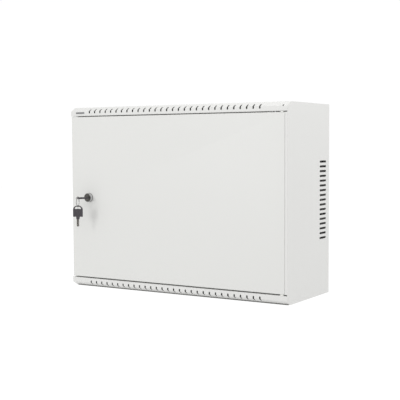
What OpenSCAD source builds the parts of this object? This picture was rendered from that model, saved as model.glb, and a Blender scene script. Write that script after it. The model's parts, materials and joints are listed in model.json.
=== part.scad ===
// Wall-mount 19-inch rack cabinet, 9 rack units, with a hinged and locking steel door.
// The body stands on z = 0 and is centred on x and y. The door faces -y.

/* [Body] */
// Overall width across the side panels
body_w = 600; // [540:5:700]
// Overall height
body_h = 445; // [445:1:600]
// Overall depth from the door face to the wall
body_d = 220; // [200:5:450]
// Thickness of the sheet steel
sheet = 1.2; // [1:0.1:1.5]
// Height of the fixed strips above and below the door
strip_h = 21.4; // [20:0.1:22]
// Height and depth of the sloping edge that joins a strip to the top or the bottom
slope_h = 9.5; // [8.5:0.5:11.5]
slope_d = 16.5; // [10:0.5:18]
// Gap below the door and gap above it
low_gap = 2.5; // [2:0.1:3]
top_gap = 1.7; // [1.5:0.1:3]

/* [Vents] */
// Number of slots in each front strip
strip_slots = 30; // [10:1:30]
// Distance between slots along a strip
strip_pitch = 16.35; // [12:0.05:16.5]
// How far the row of slots sits left of the middle
strip_shift = 5.25; // [0:0.25:8]
// Width of a strip slot, and its lengths on the upright part and up the slope
strip_slot_w = 4; // [3:0.5:5]
slot_upright = 6; // [4:0.5:8]
slot_slope = 10; // [4:0.5:12]
// Number of slots in each side
side_slots = 17; // [6:1:24]
// Distance between side slots
side_pitch = 11.11; // [9:0.01:13]
// Length and width of a side slot
side_slot_l = 36; // [20:1:40]
side_slot_w = 5; // [3:0.1:6]

/* [Door] */
// Depth of the folded door edge
door_d = 22; // [18:0.5:23]
// Radius of the door's left folded edge
door_r = 4.5; // [3.5:0.1:4.5]
// Width of the lips behind the door edge
lip_w = 12; // [8:1:16]
// Distance of the lock from the left side
lock_x = 55; // [45:1:60]

/* [Rails] */
// Number of rack units
units = 9; // [4:1:9]
// Distance of the rail faces behind the door face
rail_y = 50; // [40:1:70]

/* [Keys] */
// Width and thickness of a key head
bow_w = 24; // [22:0.5:26]
bow_t = 3.2; // [2.6:0.1:3.4]
// How far the ring is turned away from square to the door
ring_twist = 25; // [0:1:30]

/* [Hidden] */
$fn = 48;
fit = 0.05;
front = -body_d / 2;
back = body_d / 2;
side = body_w / 2;
inner = side - sheet;
door_low = strip_h + low_gap;
door_top = body_h - strip_h - top_gap;
door_hgt = door_top - door_low;
mid_z = body_h / 2;

// folded frame
fold_r = 2;
shelf_d = 24;
side_gap = 3;
jamb_y = front + door_d + side_gap;
jamb_w = 32;
hinge_flange = 6.5;
door_right = side - hinge_flange - 0.4;
hinge_edge_r = 2;
collar_r = 4.5;
slope_hole = [side - 11.5, body_h - slope_h + 0.7];
tab_w = 12;
tray_d = 12;

// hinges
pivot_x = side - 15;
pivot_y = front + collar_r;
pin_r = 2;
bush_r = collar_r - sheet - 0.1;
plate_t = 3;

// wall fixings and cable entries
wall_x = 265;
wall_z = 170;
wall_r = 4.5;
entry_w = 200;
entry_d = 40;
entry_y = back - 44;
cover_w = 230;
cover_d = 60;
cover_screw_x = 105;
cover_screw_y = 25;

// rails
rack_u = 44.45;
rail_hole = 9.5;
rail_hole_x = 465.1 / 2;
rail_in = 225;
rail_out = 250;
rail_t = 2;
rail_leg = 35;
rail_end = 6;
rail_front = front + rail_y;
bracket_l = 70;
bracket_h = 30;
bracket_slot_z = 16;
rail_screw_y = [10, 26];

// lock and keys
lock_px = -side + lock_x;
head_out = 8;
head_r = 10.5;
plug_r = 7;
barrel_r = 9.5;
barrel_len = 24;
cam_y = jamb_y + sheet + 0.5;
cam_t = 2;
cam_len = 32;
key_way_w = 7;
key_way_t = 2.4;
blade_w = 6.3;
blade_t = 2;
blade_len = 24;
neck_len = 6;
neck_w = 7.6;
key_gap = 3;
bow_side = 19;
arch_r = 12.6;
arch_v = 15.2;
disc_v = 9.2;
bar_w = 2.6;
bow_y = front - head_out - key_gap - neck_len;
bar_v = arch_v + arch_r - bar_w / 2;
ring_in = 12;
ring_t = 1.2;
ring_wd = 2.2;
ring_hang = ring_in - 2.45;
ring_tilt = 27;
bar_pos = [lock_px, bow_y - bar_v, mid_z];

// earth studs
stud_r = 3;
body_stud = [275, 60];
door_stud = [268, 60];

// ---- plane geometry -------------------------------------------------------------

function unit(v) = v / norm(v);
function left_of(v) = [-v[1], v[0]];
function arc(c, r, a0, a1, n = 8) =
    [for (k = [0:n]) c + r * [cos(a0 + (a1 - a0) * k / n), sin(a0 + (a1 - a0) * k / n)]];

// unit normal on the left of segment i of a path
function seg_n(pts, i) = left_of(unit(pts[i + 1] - pts[i]));
// the path moved sideways by d, with mitred corners
function shifted(pts, d) = let (last = len(pts) - 1) [for (i = [0:last])
    let (a = seg_n(pts, max(i - 1, 0)), b = seg_n(pts, min(i, last - 1)))
    pts[i] + d * (a + b) / (1 + a * b)];

// one edge of a folded sheet: the centre path moved by s, with its corners rounded
function fold_corner(pts, i, r, s, n) =
    let (a = unit(pts[i] - pts[i - 1]), b = unit(pts[i + 1] - pts[i]),
        turn = cross(a, b) > 0 ? 1 : -1,
        angle = acos(a * b),
        start = pts[i] - a * r * tan(angle / 2),
        c = start + left_of(a) * turn * r,
        a0 = atan2((start - c)[1], (start - c)[0]))
    arc(c, r - turn * s, a0, a0 + turn * angle, n);
function fold_edge(pts, r, s, n) = let (last = len(pts) - 1) concat(
    [pts[0] + s * seg_n(pts, 0)],
    [for (i = [1:last - 1]) each fold_corner(pts, i, r, s, n)],
    [pts[last] + s * seg_n(pts, last - 1)]);
function flipped(v) = [for (i = [len(v) - 1:-1:0]) v[i]];

// section of a folded sheet whose outer face follows the path, the sheet lying on its left
module folded(path, t, r, n = 6) {
    centre = shifted(path, t / 2);
    polygon(concat(fold_edge(centre, r - t / 2, t / 2, n),
        flipped(fold_edge(centre, r - t / 2, -t / 2, n))));
}

// slot outline centred on the origin, long way along x
module slot_shape(l, w) {
    square([l - w, w], center = true);
    for (sx = [-1, 1])
        translate([sx * (l - w) / 2, 0])
            circle(w / 2);
}

// extrusions of a drawn outline along x, from x0 to x1, and along -y from y1 down to y0
module along_x(x0, x1) {
    translate([x0, 0, 0])
        rotate([90, 0, 90])
            linear_extrude(x1 - x0)
                children();
}
module along_y(y0, y1) {
    translate([0, y1, 0])
        rotate([90, 0, 0])
            linear_extrude(y1 - y0)
                children();
}
module rod_y(x, z, y0, y1, r) {
    translate([0, y0, 0])
        translate([x, 0, z])
            rotate([-90, 0, 0])
                cylinder(r = r, h = y1 - y0);
}
module rod_z(x, y, z0, z1, r) {
    translate([x, y, z0])
        cylinder(r = r, h = z1 - z0);
}
module block(lo, hi) {
    translate(lo)
        cube(hi - lo);
}

// ---- folded body panels ---------------------------------------------------------

// slots folded over the edge of the slope, at the height of the upper strip
module slot_half(l) {
    translate([-strip_slot_w / 2, 0])
        square([strip_slot_w, l - strip_slot_w / 2]);
    translate([0, l - strip_slot_w / 2])
        circle(strip_slot_w / 2);
}
module strip_vents() {
    first = -strip_shift - (strip_slots - 1) / 2 * strip_pitch;
    for (i = [0:strip_slots - 1])
        translate([first + i * strip_pitch, front, body_h - slope_h]) {
            translate([0, -1, 0])
                rotate([-90, 0, 0])
                    linear_extrude(4)
                        slot_half(slot_upright);
            rotate([atan2(slope_h, slope_d), 0, 0])
                translate([0, 0, -3])
                    linear_extrude(4)
                        slot_half(slot_slope);
        }
}

// the upper panel: shelf over the door, strip, sloping edge and top sheet, with end tabs
module cap_panel() {
    difference() {
        union() {
            along_x(-inner, inner)
                folded(flipped([[front + shelf_d, body_h - strip_h], [front, body_h - strip_h],
                    [front, body_h - slope_h], [front + slope_d, body_h], [back, body_h]]),
                    sheet, fold_r);
            for (sx = [-1, 1])
                mirror([sx > 0 ? 0 : 1, 0, 0])
                    block([inner - sheet, front + shelf_d + 6, body_h - sheet - tab_w],
                        [inner, back - tray_d - 1, body_h - sheet / 2]);
        }
        strip_vents();
        block([-entry_w / 2, entry_y - entry_d / 2, body_h - 3],
            [entry_w / 2, entry_y + entry_d / 2, body_h + 1]);
        rod_z(pivot_x, pivot_y, body_h - strip_h - 1, body_h - strip_h + sheet + 1, pin_r + 0.3);
    }
}

module top_panel() {
    color("gainsboro")
        difference() {
            cap_panel();
            rod_y(slope_hole[0], slope_hole[1], front - 1, front + 8, 1.8);
        }
}

module bottom_panel() {
    color("gainsboro")
        difference() {
            translate([0, 0, body_h])
                mirror([0, 0, 1])
                    cap_panel();
            for (sx = [-1, 1], sy = [-1, 1])
                rod_z(sx * cover_screw_x, entry_y + sy * cover_screw_y, -1, sheet + 1, 2 + fit);
        }
}

// outline of a side panel seen from the side, as far forward as the door face
module side_outline() {
    polygon([[front, slope_h], [front + slope_d, 0], [back, 0], [back, body_h],
        [front + slope_d, body_h], [front, body_h - slope_h]]);
}

module side_vents() {
    first = mid_z - (side_slots - 1) / 2 * side_pitch;
    for (i = [0:side_slots - 1])
        translate([0, back - 35, first + i * side_pitch])
            along_x(inner - 1, side + 1)
                slot_shape(side_slot_l, side_slot_w);
}

module right_side_panel() {
    color("gainsboro")
        difference() {
            intersection() {
                linear_extrude(body_h)
                    folded([[side - hinge_flange, front], [side, front], [side, back]],
                        sheet, fold_r);
                along_x(0, side)
                    side_outline();
            }
            block([0, front - 1, -1], [inner, front + 20, door_low]);
            block([0, front - 1, door_top], [inner, front + 20, body_h + 1]);
            side_vents();
        }
}

module left_side_panel() {
    color("gainsboro")
        mirror([1, 0, 0])
            difference() {
                union() {
                    block([inner, jamb_y + fold_r, 0], [side, back, body_h]);
                    translate([0, 0, door_low])
                        linear_extrude(door_hgt)
                            folded([[side - jamb_w, jamb_y], [side, jamb_y],
                                [side, jamb_y + 10]], sheet, fold_r);
                    intersection() {
                        along_x(inner, side)
                            side_outline();
                        union() {
                            block([inner, front, 0], [side, jamb_y + 10, strip_h]);
                            block([inner, front, body_h - strip_h],
                                [side, jamb_y + 10, body_h]);
                        }
                    }
                }
                side_vents();
            }
}

// shallow tray that closes the back, with the four wall fixing holes
module back_panel() {
    color("gainsboro")
        difference() {
            block([-inner, back - tray_d, sheet], [inner, back, body_h - sheet]);
            block([-inner + sheet, back - tray_d - 1, 2 * sheet],
                [inner - sheet, back - sheet, body_h - 2 * sheet]);
            for (sx = [-1, 1], sz = [-1, 1])
                rod_y(sx * wall_x, mid_z + sz * wall_z, back - 5, back + 1, wall_r);
        }
}

// ---- rails ----------------------------------------------------------------------

// rail on the right: face with three square holes per unit, and a leg towards the wall
module rail() {
    low = mid_z - units * rack_u / 2;
    difference() {
        translate([0, 0, rail_end])
            linear_extrude(body_h - 2 * rail_end)
                folded([[rail_in, rail_front], [rail_out, rail_front],
                    [rail_out, rail_front + rail_leg]], rail_t, 3);
        for (u = [0:units - 1], dz = [6.35, 22.225, 38.1])
            translate([rail_hole_x, rail_front, low + u * rack_u + dz])
                cube([rail_hole, 10, rail_hole], center = true);
        for (z = [bracket_slot_z, body_h - bracket_slot_z], dy = rail_screw_y)
            translate([rail_out - 5, rail_front + dy, z])
                rotate([0, 90, 0])
                    cylinder(r = 2.65, h = 10);
    }
}
module rail_right() {
    color("silver")
        rail();
}
module rail_left() {
    color("silver")
        mirror([1, 0, 0])
            rail();
}

// angle that ties the lower end of the right rail to the bottom panel
module rail_bracket() {
    y0 = rail_front - 2;
    difference() {
        along_y(y0, y0 + bracket_l)
            folded([[rail_out + 30, sheet], [rail_out, sheet],
                [rail_out, sheet + bracket_h]], -rail_t, 3);
        translate([0, y0 + bracket_l / 2, bracket_slot_z])
            along_x(rail_out - 1, rail_out + 4)
                slot_shape(bracket_l - 14, 5.5);
    }
}
module rail_bracket_bottom_right() {
    color("silver")
        rail_bracket();
}
module rail_bracket_bottom_left() {
    color("silver")
        mirror([1, 0, 0])
            rail_bracket();
}
module rail_bracket_top_right() {
    color("silver")
        translate([0, 0, body_h])
            mirror([0, 0, 1])
                rail_bracket();
}
module rail_bracket_top_left() {
    color("silver")
        mirror([1, 0, 0])
            translate([0, 0, body_h])
                mirror([0, 0, 1])
                    rail_bracket();
}

// places its children at the eight rail screws, x pointing outwards
module at_rail_screws() {
    for (sx = [-1, 1], z = [bracket_slot_z, body_h - bracket_slot_z], dy = rail_screw_y)
        mirror([sx > 0 ? 0 : 1, 0, 0])
            translate([rail_out, rail_front + dy, z])
                rotate([0, 90, 0])
                    children();
}
module rail_screws() {
    color("silver")
        at_rail_screws() {
            difference() {
                union() {
                    translate([0, 0, -rail_t - 2.8])
                        cylinder(r = 4.6, h = 2.8);
                    translate([0, 0, -rail_t])
                        cylinder(r = 2.5, h = rail_t + rail_t + 6);
                }
                translate([0, 0, -rail_t - 3])
                    cylinder(r = 2, h = 2, $fn = 6);
            }
        }
}
module rail_nuts() {
    color("silver")
        at_rail_screws()
            translate([0, 0, rail_t])
                difference() {
                    cylinder(r = 4.6, h = 4, $fn = 6);
                    translate([0, 0, -1])
                        cylinder(r = 2.5, h = 6);
                }
}

// ---- cable entries --------------------------------------------------------------

// rubber edging round the upper cable entry, gripping both faces of the sheet
module top_entry_trim() {
    grip = 3;
    skin = 1.2;
    color("dimgray")
        difference() {
            block([-entry_w / 2 - grip, entry_y - entry_d / 2 - grip, body_h - sheet - skin],
                [entry_w / 2 + grip, entry_y + entry_d / 2 + grip, body_h + skin]);
            block([-entry_w / 2 + skin, entry_y - entry_d / 2 + skin, body_h - 5],
                [entry_w / 2 - skin, entry_y + entry_d / 2 - skin, body_h + 5]);
            difference() {
                block([-entry_w, entry_y - entry_d, body_h - sheet],
                    [entry_w, entry_y + entry_d, body_h]);
                block([-entry_w / 2, entry_y - entry_d / 2, body_h - 4],
                    [entry_w / 2, entry_y + entry_d / 2, body_h + 4]);
            }
        }
}
// blanking plate over the lower cable entry, on the inside
module bottom_entry_cover() {
    color("gainsboro")
        difference() {
            block([-cover_w / 2, entry_y - cover_d / 2, sheet],
                [cover_w / 2, entry_y + cover_d / 2, 2 * sheet]);
            for (sx = [-1, 1], sy = [-1, 1])
                rod_z(sx * cover_screw_x, entry_y + sy * cover_screw_y, 0, 5, 2.2);
        }
}
module cover_screws() {
    color("silver")
        for (sx = [-1, 1], sy = [-1, 1])
            translate([sx * cover_screw_x, entry_y + sy * cover_screw_y, 0.2])
                difference() {
                    union() {
                        cylinder(r = 2, h = 2 * sheet - 0.2);
                        translate([0, 0, 2 * sheet - 0.2])
                            cylinder(r = 3.8, h = 2.4);
                    }
                    translate([0, 0, 2 * sheet + 1.2])
                        cylinder(r = 1.6, h = 3, $fn = 6);
                }
}

// ---- hinges and fittings of the body --------------------------------------------

// places its children for the lower hinge, or mirrored for the upper one
module hinge_side(upper) {
    translate([0, 0, upper ? body_h : 0])
        mirror([0, 0, upper ? 1 : 0])
            children();
}
module hinge_plate(upper) {
    color("silver")
        hinge_side(upper)
            difference() {
                block([pivot_x - 12, front + fold_r, strip_h - sheet - plate_t],
                    [inner - 0.4, front + shelf_d, strip_h - sheet]);
                rod_z(pivot_x, pivot_y, 0, 50, pin_r);
            }
}
module hinge_plate_top() {
    hinge_plate(true);
}
module hinge_plate_bottom() {
    hinge_plate(false);
}
// headed pin, held in the plate, that stands up into the door's bush
module hinge_pin(upper) {
    head_z = strip_h - sheet - plate_t;
    color("silver")
        hinge_side(upper) {
            rod_z(pivot_x, pivot_y, head_z - 1.5, head_z, 2.8);
            rod_z(pivot_x, pivot_y, head_z, door_low + 11, pin_r);
            rod_z(pivot_x, pivot_y, door_low + 11, door_low + 12, pin_r - 0.4);
        }
}
module hinge_pin_top() {
    hinge_pin(true);
}
module hinge_pin_bottom() {
    hinge_pin(false);
}

// rubber dots on the left frame, which the closed door's lip rests on
module door_buffers() {
    color("dimgray")
        for (sz = [-1, 1])
            rod_y(-side + 8, mid_z + sz * 120, jamb_y - side_gap + 0.2, jamb_y, 4.5);
}

module body_earth_stud() {
    color("silver")
        rod_y(body_stud[0], body_stud[1], back - sheet - 20, back - sheet, stud_r);
}
module body_earth_washers() {
    color("silver")
        difference() {
            rod_y(body_stud[0], body_stud[1], back - sheet - 3.2, back - sheet, 6);
            rod_y(body_stud[0], body_stud[1], back - sheet - 4, back, stud_r);
        }
}
module body_earth_nut() {
    nut_y = back - sheet - 3.2;
    color("silver")
        difference() {
            translate([body_stud[0], nut_y, body_stud[1]])
                rotate([90, 0, 0])
                    cylinder(r = 5.77, h = 5, $fn = 6);
            rod_y(body_stud[0], body_stud[1], nut_y - 6, nut_y + 1, stud_r);
        }
}

// plain plate on the left end of the upper strip
module badge_plate() {
    color("gray")
        block([-284, front - 0.6, body_h - 15.7], [-258, front, body_h - 11.9]);
}

// ---- door -----------------------------------------------------------------------

// box with its four front edges rounded, of the door's size less an inset
module door_slab(inset, y1) {
    rl = door_r - inset;
    rr = hinge_edge_r - inset;
    x0 = -side + inset;
    x1 = door_right - inset;
    z0 = door_low + inset;
    z1 = door_top - inset;
    y0 = front + inset;
    intersection() {
        linear_extrude(body_h)
            polygon(concat(arc([x0 + rl, y0 + rl], rl, 180, 270),
                arc([x1 - rr, y0 + rr], rr, 270, 360), [[x1, y1], [x0, y1]]));
        along_x(-side, side)
            polygon(concat(arc([y0 + 2.5, z0 + 2.5], 2.5, 270, 180),
                arc([y0 + 2.5, z1 - 2.5], 2.5, 180, 90), [[y1, z1], [y1, z0]]));
    }
}
module door_panel() {
    rear = front + door_d;
    color("gainsboro")
        difference() {
            door_slab(0, rear);
            door_slab(sheet, rear - sheet);
            block([-side + lip_w, rear - 2 * sheet, door_low + lip_w],
                [door_right - lip_w, rear + 1, door_top - lip_w]);
            rod_y(lock_px, mid_z, front - 1, front + 5, barrel_r + fit);
            rod_z(pivot_x, pivot_y, door_low - 1, door_low + 6, bush_r);
            rod_z(pivot_x, pivot_y, door_top - 6, door_top + 1, bush_r);
        }
}

// nylon bush in the door's folded edge, whose collar fills most of the gap to the strip
module hinge_bush(upper, gap, play) {
    edge = strip_h + gap;
    color("white")
        hinge_side(upper)
            difference() {
                union() {
                    rod_z(pivot_x, pivot_y, strip_h + play, edge, collar_r);
                    rod_z(pivot_x, pivot_y, edge, edge + 6, bush_r);
                }
                rod_z(pivot_x, pivot_y, strip_h, edge + 10, pin_r + fit);
            }
}
module hinge_bush_top() {
    hinge_bush(true, top_gap, 0.5);
}
module hinge_bush_bottom() {
    hinge_bush(false, low_gap, 0.1);
}

module door_earth_stud() {
    color("silver")
        rod_y(door_stud[0], door_stud[1], front + sheet, front + sheet + 16, stud_r);
}
module door_earth_washer() {
    color("silver")
        difference() {
            rod_y(door_stud[0], door_stud[1], front + sheet, front + sheet + 1.6, 6);
            rod_y(door_stud[0], door_stud[1], front, front + 10, stud_r);
        }
}
module door_earth_nut() {
    nut_y = front + sheet + 1.6;
    color("silver")
        difference() {
            translate([door_stud[0], nut_y + 5, door_stud[1]])
                rotate([90, 0, 0])
                    cylinder(r = 5.77, h = 5, $fn = 6);
            rod_y(door_stud[0], door_stud[1], nut_y - 1, nut_y + 6, stud_r);
        }
}

// ---- lock -----------------------------------------------------------------------

module lock_body() {
    color("silver")
        translate([lock_px, front, mid_z])
            rotate([-90, 0, 0])
                rotate_extrude()
                    polygon([[plug_r + fit, -head_out], [head_r - 0.8, -head_out],
                        [head_r, -head_out + 0.8], [head_r, -1.4], [head_r + 0.6, -0.8],
                        [head_r + 0.6, 0], [barrel_r, 0], [barrel_r, barrel_len],
                        [plug_r + fit, barrel_len]]);
}
module lock_washer() {
    color("silver")
        difference() {
            rod_y(lock_px, mid_z, front + sheet, front + sheet + 1, barrel_r + 3.5);
            rod_y(lock_px, mid_z, front, front + 5, barrel_r);
        }
}
module lock_nut() {
    nut_y = front + sheet + 1;
    color("silver")
        difference() {
            translate([lock_px, nut_y + 4, mid_z])
                rotate([90, 0, 0])
                    cylinder(r = 14, h = 4, $fn = 6);
            rod_y(lock_px, mid_z, nut_y - 1, nut_y + 6, barrel_r);
        }
}
// turning core with the keyway in front and a square end for the cam
module lock_plug() {
    face = front - head_out - 0.2;
    color("silver")
        difference() {
            union() {
                rod_y(lock_px, mid_z, face, cam_y, plug_r);
                block([lock_px - 3.5, cam_y, mid_z - 3.5],
                    [lock_px + 3.5, cam_y + cam_t, mid_z + 3.5]);
            }
            block([lock_px - key_way_w / 2, face - 1, mid_z - key_way_t / 2],
                [lock_px + key_way_w / 2, face + 20, mid_z + key_way_t / 2]);
            rod_y(lock_px, mid_z, cam_y - 7, cam_y + 5, 2);
        }
}
// cam, hanging down while the door is unlocked
module lock_cam() {
    color("silver")
        translate([lock_px, cam_y + cam_t, mid_z])
            rotate([90, 0, 0])
                linear_extrude(cam_t)
                    difference() {
                        union() {
                            circle(9);
                            translate([-8, -cam_len + 4])
                                square([16, cam_len - 4]);
                            translate([-4, -cam_len])
                                square([8, 8]);
                            for (sx = [-1, 1])
                                translate([sx * 4, -cam_len + 4])
                                    circle(4);
                        }
                        square(7, center = true);
                    }
}
module cam_screw() {
    head = cam_y + cam_t;
    color("silver")
        difference() {
            union() {
                rod_y(lock_px, mid_z, cam_y - 6, head, 2);
                rod_y(lock_px, mid_z, head, head + 2.5, 4.8);
            }
            block([lock_px - 3.6, head + 1.5, mid_z - 0.5], [lock_px + 3.6, head + 3, mid_z + 0.5]);
        }
}

// ---- keys -----------------------------------------------------------------------

// key outlines: x across the key, y from the tip towards the arch, 0 where the head begins
module blade_outline() {
    half = blade_w / 2;
    difference() {
        polygon([[-half, -2], [-half, -blade_len + 2], [-half + 2, -blade_len],
            [half - 2.6, -blade_len], [half, -blade_len + 3], [half, -2]]);
        for (i = [0:4])
            translate([half, -blade_len + 5.5 + i * 2.6])
                polygon([[0.1, -1.2], [-1.6 + 0.5 * (i % 2), -0.4],
                    [-1.6 + 0.5 * (i % 2), 0.4], [0.1, 1.2]]);
    }
}
module bow_outline() {
    half = bow_w / 2;
    difference() {
        union() {
            translate([-half, 0])
                square([bow_w, bow_side]);
            polygon([[-neck_w / 2, -neck_len], [neck_w / 2, -neck_len], [neck_w / 2 + 0.6, 0.5],
                [-neck_w / 2 - 0.6, 0.5]]);
            intersection() {
                translate([0, arch_v])
                    circle(arch_r);
                translate([-half, 10])
                    square([bow_w, 20]);
            }
        }
        difference() {
            intersection() {
                translate([0, arch_v])
                    circle(arch_r - bar_w);
                translate([-7.8, bow_side])
                    square([15.6, 12]);
            }
            translate([0, bow_side - 3.8])
                circle(4.6);
        }
    }
}
module blade() {
    translate([0, 0, -blade_t / 2])
        linear_extrude(blade_t)
            blade_outline();
}
// moulded head with a pocket for the blade's root and a plain raised disc on each face
module bow() {
    difference() {
        union() {
            translate([0, 0, -bow_t / 2])
                linear_extrude(bow_t)
                    bow_outline();
            translate([0, disc_v, -bow_t / 2 - 0.4])
                cylinder(r = 5.6, h = bow_t + 0.8);
        }
        translate([-blade_w / 2, -neck_len - 1, -blade_t / 2])
            cube([blade_w, neck_len - 1, blade_t]);
    }
}

// places a key in the lock
module in_lock() {
    translate([lock_px, bow_y, mid_z])
        rotate([0, 0, 180])
            children();
}
// places children on the ring's own axes: x across the ring, z down the hang
module on_ring() {
    translate(bar_pos)
        rotate([0, 0, ring_twist])
            children();
}
ring_mid = [0, -ring_hang * sin(ring_tilt), -ring_hang * cos(ring_tilt)];
spare_bar = ring_mid - [0, 0, ring_hang];
module hanging() {
    on_ring()
        translate(spare_bar - [0, 0, bar_v])
            rotate([90, 0, 0])
                children();
}

module key_blade() {
    color("silver")
        in_lock()
            blade();
}
module key_bow() {
    color("#2b2830")
        in_lock()
            bow();
}
module key_ring() {
    color("silver")
        on_ring()
            translate(ring_mid)
                rotate([0, 90, 0])
                    rotate_extrude($fn = 96)
                        translate([ring_in, -ring_wd / 2])
                            square([ring_t, ring_wd]);
}
module spare_key_blade() {
    color("silver")
        hanging()
            blade();
}
module spare_key_bow() {
    color("#2b2830")
        hanging()
            bow();
}

top_panel();
bottom_panel();
left_side_panel();
right_side_panel();
back_panel();
rail_left();
rail_right();
rail_bracket_top_left();
rail_bracket_top_right();
rail_bracket_bottom_left();
rail_bracket_bottom_right();
rail_screws();
rail_nuts();
top_entry_trim();
bottom_entry_cover();
cover_screws();
hinge_plate_top();
hinge_plate_bottom();
hinge_pin_top();
hinge_pin_bottom();
door_buffers();
body_earth_stud();
body_earth_washers();
body_earth_nut();
badge_plate();
door_panel();
hinge_bush_top();
hinge_bush_bottom();
lock_body();
lock_washer();
lock_nut();
door_earth_stud();
door_earth_washer();
door_earth_nut();
lock_plug();
lock_cam();
cam_screw();
key_blade();
key_bow();
key_ring();
spare_key_blade();
spare_key_bow();
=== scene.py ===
import json
import math

import bmesh
import bpy
import numpy as np
from mathutils import Matrix, Vector


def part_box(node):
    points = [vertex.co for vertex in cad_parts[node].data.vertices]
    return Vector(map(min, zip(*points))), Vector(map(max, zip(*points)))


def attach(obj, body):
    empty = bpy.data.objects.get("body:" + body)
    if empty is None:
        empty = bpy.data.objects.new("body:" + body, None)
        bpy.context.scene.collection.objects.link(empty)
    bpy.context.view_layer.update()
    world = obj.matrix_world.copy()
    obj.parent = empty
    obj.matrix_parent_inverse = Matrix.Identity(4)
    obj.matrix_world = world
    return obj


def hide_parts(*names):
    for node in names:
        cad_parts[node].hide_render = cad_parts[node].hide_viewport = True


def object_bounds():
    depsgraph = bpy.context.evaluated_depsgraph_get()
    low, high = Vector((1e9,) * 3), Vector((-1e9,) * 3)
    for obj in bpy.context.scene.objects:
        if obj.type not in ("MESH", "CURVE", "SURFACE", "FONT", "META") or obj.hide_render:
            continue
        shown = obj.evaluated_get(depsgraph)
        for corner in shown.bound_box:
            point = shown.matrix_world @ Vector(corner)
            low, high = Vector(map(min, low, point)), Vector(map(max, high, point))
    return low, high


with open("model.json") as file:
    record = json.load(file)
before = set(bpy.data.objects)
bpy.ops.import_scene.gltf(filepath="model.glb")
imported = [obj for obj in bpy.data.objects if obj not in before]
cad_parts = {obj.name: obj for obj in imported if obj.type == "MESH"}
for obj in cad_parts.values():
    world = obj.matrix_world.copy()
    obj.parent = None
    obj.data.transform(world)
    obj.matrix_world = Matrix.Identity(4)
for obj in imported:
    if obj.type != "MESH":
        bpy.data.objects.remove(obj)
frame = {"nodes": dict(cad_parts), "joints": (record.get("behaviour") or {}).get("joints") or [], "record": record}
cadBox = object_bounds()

mm = 0.001   # shapes are given in millimetres, the scene is in metres
mergeGap = 1e-7   # points closer than this are one point
coarseRound, fineRound = 48, 64   # points round a small and a large turned piece


# Lowest corner, highest corner and centre of a CAD node, as arrays.
def boxOf(nodeName):
    low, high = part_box(nodeName)
    low, high = np.array(low), np.array(high)
    return low, high, (low + high) / 2


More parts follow.
